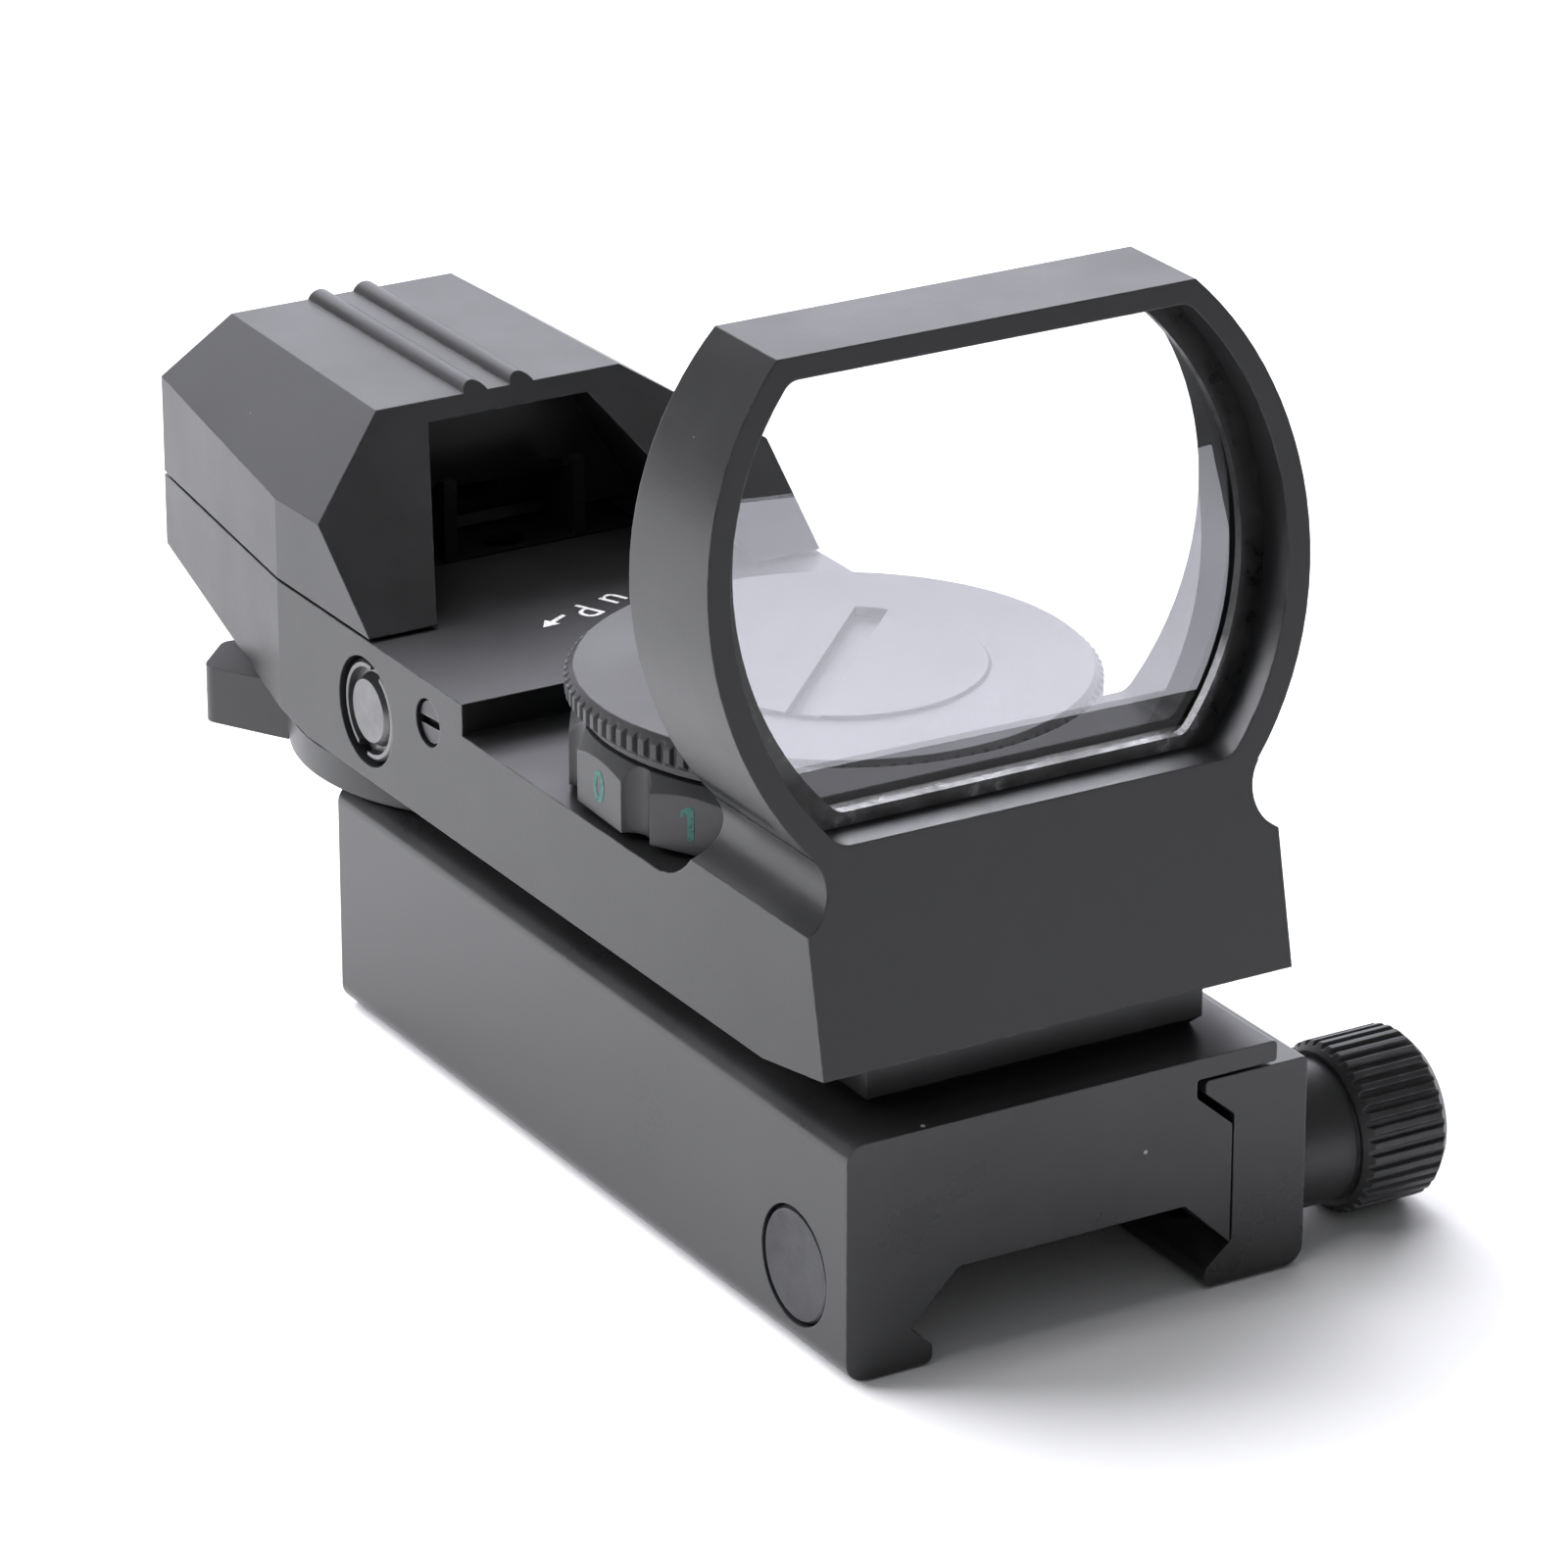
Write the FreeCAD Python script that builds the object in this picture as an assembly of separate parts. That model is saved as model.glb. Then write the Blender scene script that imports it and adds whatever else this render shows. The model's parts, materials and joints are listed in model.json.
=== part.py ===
import FreeCAD, Part
import math
import os

# Rail-mounted reflex finder.  Millimetres.  The origin is the middle of the rail seat:
# X to the thumb nut side, Y from the lens frame to the emitter hood, Z up.

# clamp
CLAMP_Y0 = -30.0
CLAMP_Y1 = 29.8
CLAMP_TOP = 8.85
CLAMP_BOTTOM = -5.45
JAW_OUTER = 15.5
BASE_OUTER = -14.65
BOLT_Y = -24.4
BOLT_Z = -0.5
BOLT_RADIUS = 1.95

# housing
HALF_WIDTH = 15.26
KINK_Y = 36.0
REAR_Y = 56.4
REAR_HALF_WIDTH = 12.8
BODY_BOTTOM = 11.25
LOWER_DECK = 18.25
UPPER_DECK = 20.2
SHOULDER_TOP = 20.05
FRONT_FOOT_Y = -28.56
FRONT_FOOT_Z = 12.35
FRONT_SLOPE = 0.2142

# lens frame
RING_RADIUS = 19.2
RING_Z = 37.0
RING_TOP = 50.83
OPENING_RADIUS = 17.75
OPENING_Z = 37.15
OPENING_TOP = 49.6
OPENING_BOTTOM = 24.65
LENS_FRONT = 3.0
LENS_BACK = 5.4
SEAT_DEPTH = 5.6

NECK_HALF_WIDTH = 15.26
NECK_TOP = 24.2
NECK_FILLET = 5.3
NECK_REAR_Y = -10.9
FILLET_Y = -10.08

# dial
DIAL_Y = -3.6
WELL_RADIUS = 15.55
HUB_RADIUS = 9.0
CUP_RADIUS = 12.05
DIAL_BOTTOM = 18.65
DIAL_TOP = 22.75
DIAL_STEPS = 12
DIAL_ZERO_ANGLE = 177.6
CAP_BOTTOM = 23.6
CAP_TOP = 25.33

# emitter end
SELECTOR_Y = 31.5
SELECTOR_RADIUS = 15.2
RETICLE_STEP = 94.0 / 3
LED_Y = 35.8
WINDAGE_Y = 24.64
WINDAGE_Z = 15.58
ELEVATION_X = 3.2
ELEVATION_Y = 17.6
LOCK_Y = 16.7
LOCK_Z = 17.6
YOKE_PIVOT_Y = 44.0
CRADLE_Y = 46.6
CRADLE_Z = 18.4

# springs are drawn with a many-sided wire
WIRE_SIDES = 10

X_AXIS = FreeCAD.Vector(1, 0, 0)
Y_AXIS = FreeCAD.Vector(0, 1, 0)
Z_AXIS = FreeCAD.Vector(0, 0, 1)


def point(x, y, z):
    return FreeCAD.Vector(x, y, z)


def rod(radius, start, end):
    """Round bar between two points."""
    along = end.sub(start)
    return Part.makeCylinder(radius, along.Length, start, along)


def upright(radius, x, y, z0, z1):
    return rod(radius, point(x, y, z0), point(x, y, z1))


def block(x0, x1, y0, y1, z0, z1):
    return Part.makeBox(x1 - x0, y1 - y0, z1 - z0, point(x0, y0, z0))


def corner_edges(corners):
    """Closed loop of edges through (point, radius) corners, each rounded to its radius."""
    total = len(corners)
    ins = []
    outs = []
    mids = []
    for index in range(total):
        here, radius = corners[index]
        before = corners[index - 1][0].sub(here)
        after = corners[(index + 1) % total][0].sub(here)
        before.normalize()
        after.normalize()
        half = math.acos(max(-1.0, min(1.0, before.dot(after)))) / 2
        reach = radius / math.tan(half) if radius else 0.0
        middle = before.add(after)
        if radius:
            middle.normalize()
        sag = radius / math.sin(half) - radius if radius else 0.0
        ins.append(here.add(FreeCAD.Vector(before).multiply(reach)))
        outs.append(here.add(FreeCAD.Vector(after).multiply(reach)))
        mids.append(here.add(FreeCAD.Vector(middle).multiply(sag)))
    edges = []
    for index in range(total):
        if corners[index][1]:
            edges.append(Part.Arc(ins[index], mids[index], outs[index]).toShape())
        following = (index + 1) % total
        edges.append(Part.makeLine(outs[index], ins[following]))
    return edges


def outline(corners):
    return Part.Face(Part.Wire(corner_edges(corners)))


def bar_y(corners, y0, y1):
    """Solid with an XZ outline of (x, z, radius) corners, run along Y."""
    spots = [(point(x, y0, z), r) for x, z, r in corners]
    return outline(spots).extrude(point(0, y1 - y0, 0))


def bar_x(corners, x0, x1):
    """Solid with a YZ outline of (y, z, radius) corners, run along X."""
    spots = [(point(x0, y, z), r) for y, z, r in corners]
    return outline(spots).extrude(point(x1 - x0, 0, 0))


def bar_z(corners, z0, z1):
    """Solid with an XY outline of (x, y, radius) corners, run along Z."""
    spots = [(point(x, y, z0), r) for x, y, r in corners]
    return outline(spots).extrude(point(0, 0, z1 - z0))


def ring_z(outer, inner, x, y, z0, z1):
    return upright(outer, x, y, z0, z1).cut(upright(inner, x, y, z0 - 1, z1 + 1))


def half_space(a, b, c, outward):
    """Thick slab that fills the outward side of the plane through three points."""
    along = b.sub(a)
    along.normalize()
    normal = along.cross(c.sub(a))
    normal.normalize()
    if normal.dot(outward) < 0:
        normal = normal.negative()
    across = normal.cross(along)
    spots = []
    for s, t in ((-60, -60), (60, -60), (60, 60), (-60, 60)):
        corner = a.add(FreeCAD.Vector(along).multiply(s))
        spots.append((corner.add(FreeCAD.Vector(across).multiply(t)), 0))
    return outline(spots).extrude(normal.multiply(40))


def coil(radius, wire, pitch, height, start, direction):
    """Wire spring around an axis."""
    helix = Part.makeHelix(pitch, height, radius)
    spots = []
    for index in range(WIRE_SIDES + 1):
        angle = 2 * math.pi * index / WIRE_SIDES
        spots.append(point(radius + wire * math.cos(angle), 0, wire * math.sin(angle)))
    section = Part.makePolygon(spots)
    spring = Part.Wire(helix.Edges).makePipeShell([section], True, True)
    turn = FreeCAD.Rotation(Z_AXIS, direction)
    spring.Placement = FreeCAD.Placement(start, turn)
    return spring


def fluted_bar(radius, depth, count, length):
    """Round bar with straight ridges and grooves around it, standing on the XY plane."""
    spots = []
    step = 2 * math.pi / count
    for index in range(count):
        for part, size in ((0.0, radius), (0.42, radius), (0.58, radius - depth),
                           (0.84, radius - depth)):
            angle = (index + part) * step
            spots.append((point(size * math.cos(angle), size * math.sin(angle), 0), 0))
    return outline(spots).extrude(point(0, 0, length))


def slot_cut(angle, width, length, x, y, z0, z1):
    """Straight screwdriver slot across an upright axis."""
    cut = block(-length / 2, length / 2, -width / 2, width / 2, z0, z1)
    cut.rotate(point(0, 0, 0), Z_AXIS, angle)
    cut.translate(point(x, y, 0))
    return cut


def front_y(z):
    return FRONT_FOOT_Y + FRONT_SLOPE * (z - FRONT_FOOT_Z)


def front_slab(start, end):
    """Space between two depths behind the leaning front face."""
    lean = math.sqrt(1 + FRONT_SLOPE ** 2)
    a = start * lean
    b = end * lean
    corners = [(front_y(0) + a, 0, 0), (front_y(60) + a, 60, 0),
               (front_y(60) + b, 60, 0), (front_y(0) + b, 0, 0)]
    return bar_x(corners, -30, 30)


def long_edges_at(shape, z):
    """Straight edges along Y that lie at one height."""
    found = []
    for edge in shape.Edges:
        ends = [vertex.Point for vertex in edge.Vertexes]
        if len(ends) == 2 and abs(ends[0].y - ends[1].y) > 40 and abs(ends[0].x) > 1:
            if abs(ends[0].z - z) < 0.01 and abs(ends[1].z - z) < 0.01:
                found.append(edge)
    return found


def clipped_disc(radius, centre_z, bottom, top, bottom_round, top_round):
    """Round bar along Y with a flat top and bottom and softened corners."""
    disc = rod(radius, point(0, -45, centre_z), point(0, 5, centre_z))
    disc = disc.common(block(-30, 30, -50, 10, bottom, top))
    disc = disc.makeFillet(bottom_round, long_edges_at(disc, bottom))
    return disc.makeFillet(top_round, long_edges_at(disc, top))


def plan_shape(z0, z1):
    """Plan outline of the housing and hood: parallel sides that draw in at the rear."""
    corners = [(-HALF_WIDTH, -31, 0), (HALF_WIDTH, -31, 0), (HALF_WIDTH, KINK_Y, 0),
               (REAR_HALF_WIDTH, REAR_Y, 0), (-REAR_HALF_WIDTH, REAR_Y, 0),
               (-HALF_WIDTH, KINK_Y, 0)]
    return bar_z(corners, z0, z1)


def lower_housing():
    side = [(FRONT_FOOT_Y, FRONT_FOOT_Z, 0), (front_y(SHOULDER_TOP), SHOULDER_TOP, 0),
            (NECK_REAR_Y, SHOULDER_TOP, 0), (NECK_REAR_Y, LOWER_DECK, 0), (12.45, LOWER_DECK, 0),
            (12.45, UPPER_DECK, 0), (REAR_Y, UPPER_DECK, 0), (REAR_Y, 15.55, 0),
            (32.5, BODY_BOTTOM, 0), (-22.0, BODY_BOTTOM, 0)]
    return bar_x(side, -20, 20).common(plan_shape(5, 30))


def lens_frame():
    disc = rod(RING_RADIUS, point(0, -45, RING_Z), point(0, 5, RING_Z))
    disc = disc.common(block(-30, 30, -50, 10, LOWER_DECK, RING_TOP))
    neck = block(-NECK_HALF_WIDTH, NECK_HALF_WIDTH, -45, 5, LOWER_DECK, NECK_TOP)
    depth = [(front_y(15), 15, 0), (front_y(55), 55, 0), (-13.5, 55, 0), (-15.9, 15, 0)]
    frame = disc.fuse(neck).common(bar_x(depth, -30, 30))
    root = block(-NECK_HALF_WIDTH, NECK_HALF_WIDTH, -17, NECK_REAR_Y, LOWER_DECK, 23.87)
    frame = frame.fuse(root)
    for side in (-16.4, 16.4):
        frame = frame.cut(rod(2.6, point(side, -46, 22.55), point(side, 6, 22.55)))
    return frame


def lens_frame_openings():
    front = clipped_disc(OPENING_RADIUS, OPENING_Z, OPENING_BOTTOM, OPENING_TOP, 1.5, 1.2)
    rear = clipped_disc(17.0, 37.4, 25.25, 49.0, 1.2, 1.0)
    return [front.common(front_slab(-6, SEAT_DEPTH)), rear]


def emitter_cavity():
    cavity = block(-9, 9, 33.2, 48, 15.0, UPPER_DECK + 1)
    cavity = cavity.fuse(block(-9, 9, 25, 34, 15.0, 19.2))
    cavity = cavity.fuse(block(-6, 6.2, 22.3, 26.5, 13.8, 19.2))
    cavity = cavity.fuse(block(0.4, 6.2, 14.2, 25.5, 13.8, 18.4))
    return cavity.fuse(block(-6, 6, 26, 41.5, 13.9, 15.5))


def body_housing():
    body = lower_housing().fuse(lens_frame())
    cuts = lens_frame_openings()
    fillet_z = LOWER_DECK + NECK_FILLET
    cuts.append(rod(NECK_FILLET, point(-20, FILLET_Y, fillet_z), point(20, FILLET_Y, fillet_z)))
    cuts.append(upright(WELL_RADIUS, 0, DIAL_Y, LOWER_DECK, 32))
    cuts.append(upright(HUB_RADIUS + 0.06, 0, DIAL_Y, 13, LOWER_DECK + 1))
    cuts.append(upright(12.5, 0, DIAL_Y, 17.0, LOWER_DECK + 1))
    cuts.append(upright(10.4, 0, DIAL_Y, BODY_BOTTOM - 1, 14.2))
    cuts.append(upright(12.45, 0, DIAL_Y, BODY_BOTTOM - 1, 12.2))
    cuts.append(upright(0.85, 0, 10.0, 14.0, LOWER_DECK + 1))
    cuts.append(emitter_cavity())
    cuts.append(upright(2.56, 0, SELECTOR_Y, BODY_BOTTOM - 1, 15))
    cuts.append(rod(3.42, point(-17, WINDAGE_Y, WINDAGE_Z), point(-13.9, WINDAGE_Y, WINDAGE_Z)))
    cuts.append(rod(0.98, point(-15, WINDAGE_Y, WINDAGE_Z), point(-5, WINDAGE_Y, WINDAGE_Z)))
    cuts.append(rod(1.48, point(-17, LOCK_Y, LOCK_Z), point(-14.2, LOCK_Y, LOCK_Z)))
    cuts.append(rod(0.66, point(-15, LOCK_Y, LOCK_Z), point(2, LOCK_Y, LOCK_Z)))
    cuts.append(upright(3.3, ELEVATION_X, ELEVATION_Y, 19.1, UPPER_DECK + 1))
    cuts.append(upright(0.88, ELEVATION_X, ELEVATION_Y, 18, UPPER_DECK))
    cuts.append(upright(1.0, 0, YOKE_PIVOT_Y, 14.5, 15.5))
    cuts.append(rod(0.6, point(-10.5, CRADLE_Y, CRADLE_Z), point(10.5, CRADLE_Y, CRADLE_Z)))
    for y, top in ((-18.5, 16.0), (12.8, 13.6)):
        cuts.append(upright(1.25, 0, y, BODY_BOTTOM - 1, top))
    for x in (-11.2, 11.2):
        cuts.append(upright(1.8, x, 44, 10, 16.0))
        cuts.append(upright(0.9, x, 44, 15, UPPER_DECK + 1))
    for x, y in cover_screw_spots():
        cuts.append(upright(0.6, x, y, 12, 14.0))
    for x in (-4.4, 4.4):
        cuts.append(upright(0.6, x, 40.2, 12.9, 14.0))
    return body.cut(cuts)


def cover_screw_spots():
    spots = []
    for angle in (90, 210, 330):
        spots.append((11.4 * math.cos(math.radians(angle)),
                      DIAL_Y + 11.4 * math.sin(math.radians(angle))))
    return spots


def hood():
    side = [(23.94, 20.4, 0), (REAR_Y, 20.4, 0), (REAR_Y, 29.95, 0), (35.7, 29.95, 0)]
    shell = bar_x(side, -20, 20).common(plan_shape(10, 40))
    for sign in (-1, 1):
        slope = half_space(point(sign * 8.44, 35.7, 29.95), point(sign * 7.8, REAR_Y, 29.95),
                           point(sign * 15.26, 30.3, 25.6), point(sign, 0, 1))
        shell = shell.cut(slope)
        rib = rod(0.9, point(sign * 1.6, 33.4, 29.6), point(sign * 1.6, REAR_Y, 29.6))
        front = [(23.94, 20.4, 0), (41.92, 35, 0), (23.94, 35, 0)]
        shell = shell.fuse(rib.cut(bar_x(front, -5, 5)))
    tunnel = [(-10.75, 20, 0), (10.75, 20, 0), (10.55, 20.7, 0), (5.5, 29.0, 0),
              (-5.5, 29.0, 0), (-10.55, 20.7, 0)]
    shell = shell.cut(bar_y(tunnel, 15, 38.0))
    shell = shell.cut(block(-7.5, 7.5, 40.0, 53.0, 19, 27.0))
    for x in (-11.2, 11.2):
        shell = shell.cut(upright(0.9, x, 44, 19, 24.0))
    return shell


def hood_screws():
    screws = []
    for x in (-11.2, 11.2):
        screw = upright(1.7, x, 44, 14.7, 16.0).fuse(upright(0.9, x, 44, 15.5, 23.8))
        screws.append(screw.cut(slot_cut(30, 0.5, 5, x, 44, 14, 15.2)))
    return Part.makeCompound(screws)


def objective_lens():
    glass = clipped_disc(OPENING_RADIUS - 0.15, OPENING_Z, OPENING_BOTTOM + 0.15,
                         OPENING_TOP - 0.15, 1.4, 1.1)
    return glass.common(front_slab(LENS_FRONT, LENS_BACK))


def lens_gasket():
    outer = clipped_disc(OPENING_RADIUS - 0.01, OPENING_Z, OPENING_BOTTOM + 0.01,
                         OPENING_TOP - 0.01, 1.45, 1.15)
    inner = clipped_disc(OPENING_RADIUS - 1.5, OPENING_Z, OPENING_BOTTOM + 0.75,
                         OPENING_TOP - 0.75, 1.0, 0.9)
    sleeve_inner = clipped_disc(OPENING_RADIUS - 0.14, OPENING_Z, OPENING_BOTTOM + 0.14,
                                OPENING_TOP - 0.14, 1.41, 1.11)
    bead = outer.cut(inner).common(front_slab(LENS_FRONT - 0.6, LENS_FRONT))
    sleeve = outer.cut(sleeve_inner).common(front_slab(LENS_FRONT - 0.1, LENS_BACK))
    return bead.fuse(sleeve)


def riser_plate():
    plate = block(-11, 11, -26, 15.8, CLAMP_TOP, BODY_BOTTOM)
    for y in (-18.5, 12.8):
        plate = plate.cut(upright(1.25, 0, y, 5, 15))
    bottom = [edge for edge in plate.Edges
              if edge.BoundBox.ZMax < CLAMP_TOP + 0.01 and edge.Length > 20]
    return plate.makeChamfer(0.5, bottom)


def riser_screws():
    screws = []
    for y, top in ((-18.5, 15.8), (12.8, 13.4)):
        screw = upright(2.6, 0, y, 0.35, 2.3).fuse(upright(1.25, 0, y, 2, top))
        socket = bar_z([(1.2 * math.cos(math.radians(60 * k)),
                         y + 1.2 * math.sin(math.radians(60 * k)), 0) for k in range(6)],
                       0, 1.5)
        screws.append(screw.cut(socket))
    return Part.makeCompound(screws)


def clamp_base():
    corners = [(BASE_OUTER, CLAMP_TOP, 1.1), (BASE_OUTER, CLAMP_BOTTOM, 1.2),
               (-9.1, CLAMP_BOTTOM, 0.5),
               (-9.1, -4.35, 0.4), (-10.6, -3.05, 0.3), (-7.45, 0, 0.4), (7.45, 0, 0.4),
               (10.5, -2.95, 0), (10.5, 4.4, 0.3), (8.09, 6.5, 0.3), (8.09, 7.6, 0.2),
               (13.4, 7.6, 0.2), (13.4, CLAMP_TOP, 0.3)]
    base = bar_y(corners, CLAMP_Y0, CLAMP_Y1)
    cuts = [rod(BOLT_RADIUS, point(-20, BOLT_Y, BOLT_Z), point(20, BOLT_Y, BOLT_Z))]
    cuts.append(rod(3.53, point(-20, BOLT_Y, BOLT_Z), point(-13.25, BOLT_Y, BOLT_Z)))
    cuts.append(block(-8.5, 8.5, BOLT_Y - 2.3, BOLT_Y + 2.3, -2, 1.75))
    for y in (-18.5, 12.8):
        cuts.append(upright(2.75, 0, y, -1, 2.3))
        cuts.append(upright(1.25, 0, y, 0, 12))
    return base.cut(cuts)


def clamp_jaw():
    corners = [(JAW_OUTER, 7.4, 0.3), (8.7, 7.4, 0.25), (8.7, 6.62, 0.25), (10.65, 4.95, 0.3),
               (10.65, -2.85, 0.3), (8.95, -4.3, 0.4), (8.75, -5.42, 0.45),
               (JAW_OUTER, -5.42, 1.2)]
    jaw = bar_y(corners, CLAMP_Y0, CLAMP_Y1)
    jaw = jaw.cut(rod(2.06, point(0, BOLT_Y, BOLT_Z), point(20, BOLT_Y, BOLT_Z)))
    return jaw.cut(rod(3.0, point(10, BOLT_Y, BOLT_Z), point(14.2, BOLT_Y, BOLT_Z)))


def cross_bolt():
    bolt = rod(3.4, point(-14.6, BOLT_Y, BOLT_Z), point(-13.25, BOLT_Y, BOLT_Z))
    rim = [edge for edge in bolt.Edges if abs(edge.BoundBox.Center.x + 14.6) < 0.01]
    bolt = bolt.makeChamfer(0.2, rim)
    return bolt.fuse(rod(BOLT_RADIUS, point(-13.6, BOLT_Y, BOLT_Z), point(24.6, BOLT_Y, BOLT_Z)))


def clamp_spring():
    return coil(2.62, 0.24, 0.95, 2.85, point(10.95, BOLT_Y, BOLT_Z), X_AXIS)


def thumb_nut():
    collar = upright(4.2, 0, 0, 15.7, 20.4)
    head = fluted_bar(5.08, 0.28, 36, 5.95)
    head.translate(point(0, 0, 20.3))
    crown = Part.makeCone(4.55, 6.3, 1.75, point(0, 0, 20.3), Z_AXIS)
    crown = crown.fuse(upright(6.3, 0, 0, 22.05, 25.45))
    crown = crown.fuse(Part.makeCone(5.15, 4.35, 0.8, point(0, 0, 25.45), Z_AXIS))
    nut = collar.fuse(head.common(crown))
    nut = nut.cut(upright(2.02, 0, 0, 15, 25.0))
    nut = nut.cut(slot_cut(20, 1.4, 6.4, 0, 0, 25.35, 27))
    nut.rotate(point(0, 0, 0), Y_AXIS, 90)
    nut.translate(point(0, BOLT_Y, BOLT_Z))
    return nut


def bottom_cover():
    cover = upright(12.4, 0, DIAL_Y, BODY_BOTTOM, 12.2)
    for x, y in cover_screw_spots():
        cover = cover.cut(upright(0.6, x, y, 11, 13))
        cover = cover.cut(upright(0.95, x, y, 11, 11.75))
    return cover


def cover_screws():
    screws = []
    for x, y in cover_screw_spots():
        screw = upright(0.92, x, y, 11.3, 11.75).fuse(upright(0.6, x, y, 11.5, 13.8))
        screws.append(screw.cut(slot_cut(15, 0.3, 3, x, y, 11, 11.5)))
    return Part.makeCompound(screws)


def switch_board():
    return ring_z(12.2, 10.0, 0, DIAL_Y, 17.0, 17.85)


def detent_ball():
    return Part.makeSphere(0.75, point(0, 10.0, 17.87))


def detent_spring():
    return coil(0.55, 0.13, 0.55, 2.5, point(0, 10.0, 14.3), Z_AXIS)


def dial_ring():
    body = upright(15.05, 0, 0, DIAL_BOTTOM, DIAL_TOP)
    flats = []
    for index in range(DIAL_STEPS):
        angle = math.radians(DIAL_ZERO_ANGLE + 15 + 30 * index)
        reach = 14.78 / math.cos(math.radians(15))
        flats.append((reach * math.cos(angle), reach * math.sin(angle), 0))
    body = body.common(bar_z(flats, DIAL_BOTTOM - 1, DIAL_TOP + 1))
    bevel = Part.makeCone(17.75, 14.35, 5.1, point(0, 0, 17.65), Z_AXIS)
    body = body.common(bevel)
    cuts = []
    for index in range(DIAL_STEPS):
        angle = math.radians(DIAL_ZERO_ANGLE + 15 + 30 * index)
        cuts.append(upright(1.35, 15.6 * math.cos(angle), 15.6 * math.sin(angle), 18, 24))
    for index in range(DIAL_STEPS):
        angle = math.radians(90 + 30 * index)
        dimple = point(13.6 * math.cos(angle), 13.6 * math.sin(angle), DIAL_BOTTOM - 0.35)
        cuts.append(Part.makeSphere(0.8, dimple))
    cuts.append(upright(CUP_RADIUS, 0, 0, 19.6, 24))
    body = body.fuse(upright(HUB_RADIUS, 0, 0, 13.9, DIAL_BOTTOM + 0.3))
    cuts.append(upright(4.0, 0, 0, 18.5, 20))
    cuts.append(upright(1.0, 0, 0, 13, 17.5))
    cuts.append(block(10.4, 11.8, -1.0, 1.0, 18, 19.0))
    body = body.cut(cuts)
    body.translate(point(0, DIAL_Y, 0))
    return body


def dial_wiper():
    pad = block(10.4, 11.8, DIAL_Y - 1.0, DIAL_Y + 1.0, 18.65, 19.0)
    return pad.fuse(block(10.8, 11.4, DIAL_Y - 0.3, DIAL_Y + 0.3, 17.93, 18.7))


def dial_retainer():
    return ring_z(10.1, 1.0, 0, DIAL_Y, 12.95, 13.9)


def dial_screw():
    screw = upright(2.2, 0, DIAL_Y, 12.35, 12.95).fuse(upright(1.0, 0, DIAL_Y, 12.7, 17.3))
    return screw.cut(slot_cut(0, 0.5, 6, 0, DIAL_Y, 12, 12.6))


def coin_cell():
    can = upright(10.0, 0, DIAL_Y, 19.9, 23.1)
    groove = ring_z(10.5, 9.3, 0, DIAL_Y, 20.15, 20.45)
    return can.cut(groove)


def battery_spring():
    return coil(3.2, 0.17, 0.42, 0.8, point(0, DIAL_Y, 18.72), Z_AXIS)


def battery_cap():
    rim = fluted_bar(15.15, 0.32, 100, CAP_TOP - CAP_BOTTOM)
    rim.translate(point(0, 0, CAP_BOTTOM))
    bevel = Part.makeCone(14.75, 16.0, 1.25, point(0, 0, CAP_BOTTOM), Z_AXIS)
    bevel = bevel.fuse(Part.makeCone(15.13, 14.6, 0.53, point(0, 0, CAP_TOP - 0.53), Z_AXIS))
    cap = rim.common(bevel)
    neck = ring_z(11.97, 10.3, 0, 0, 20.9, CAP_BOTTOM + 0.1)
    groove = ring_z(13, 11.1, 0, 0, 21.15, 22.07)
    cap = cap.fuse(neck.cut(groove))
    step = upright(14.2, 0, 0, 22.95, CAP_BOTTOM + 0.1).cut(upright(11.5, 0, 0, 22, 25))
    cap = cap.fuse(step)
    boss = Part.makeCone(8.75, 8.55, 0.2, point(0, 0, CAP_TOP), Z_AXIS)
    cap = cap.fuse(boss)
    cap = cap.cut(slot_cut(45.6, 1.95, 17.1, 0, 0, 24.9, 27))
    cap.translate(point(0, DIAL_Y, 0))
    return cap


def cap_o_ring():
    return Part.makeTorus(11.55, 0.4, point(0, DIAL_Y, 21.6), Z_AXIS)


def selector_disc():
    disc = upright(SELECTOR_RADIUS, 0, SELECTOR_Y, 9.05, 11.1)
    tab = bar_z([(13.5, -4.4, 0), (16.2, -3.6, 0.8), (20.6, -2.2, 1.0), (20.6, 2.2, 1.0),
                 (16.2, 3.6, 0.8), (13.5, 4.4, 0)], 8.55, 12.2)
    tab = tab.cut(upright(SELECTOR_RADIUS, 0, 0, 11.0, 13))
    tab = tab.cut(upright(SELECTOR_RADIUS, 0, 0, 8, 9.05))
    tab.rotate(point(0, 0, 0), Z_AXIS, 137)
    tab.translate(point(0, SELECTOR_Y, 0))
    disc = disc.fuse(tab)
    disc = disc.fuse(upright(2.5, 0, SELECTOR_Y, 11, 16.2))
    return disc.cut([upright(2.8, 0, SELECTOR_Y, 8, 9.9), upright(0.9, 0, SELECTOR_Y, 8, 16.5)])


def selector_screw():
    screw = upright(2.6, 0, SELECTOR_Y, 9.15, 9.9).fuse(upright(0.9, 0, SELECTOR_Y, 9.5, 15.8))
    return screw.cut(slot_cut(60, 0.6, 7, 0, SELECTOR_Y, 9, 9.5))


def reticle_wheel():
    wheel = upright(5.6, 0, SELECTOR_Y, 16.2, 16.8)
    for index in range(4):
        angle = math.radians(90 + RETICLE_STEP * index)
        wheel = wheel.cut(upright(0.9, 4.3 * math.cos(angle),
                                  SELECTOR_Y + 4.3 * math.sin(angle), 15, 18))
    return wheel


def emitter_board():
    board = block(-5.5, 5.5, 34.4, 41.3, 13.9, 14.7)
    for x in (-4.4, 4.4):
        board = board.cut(upright(0.6, x, 40.2, 13, 16))
    return board


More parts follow.
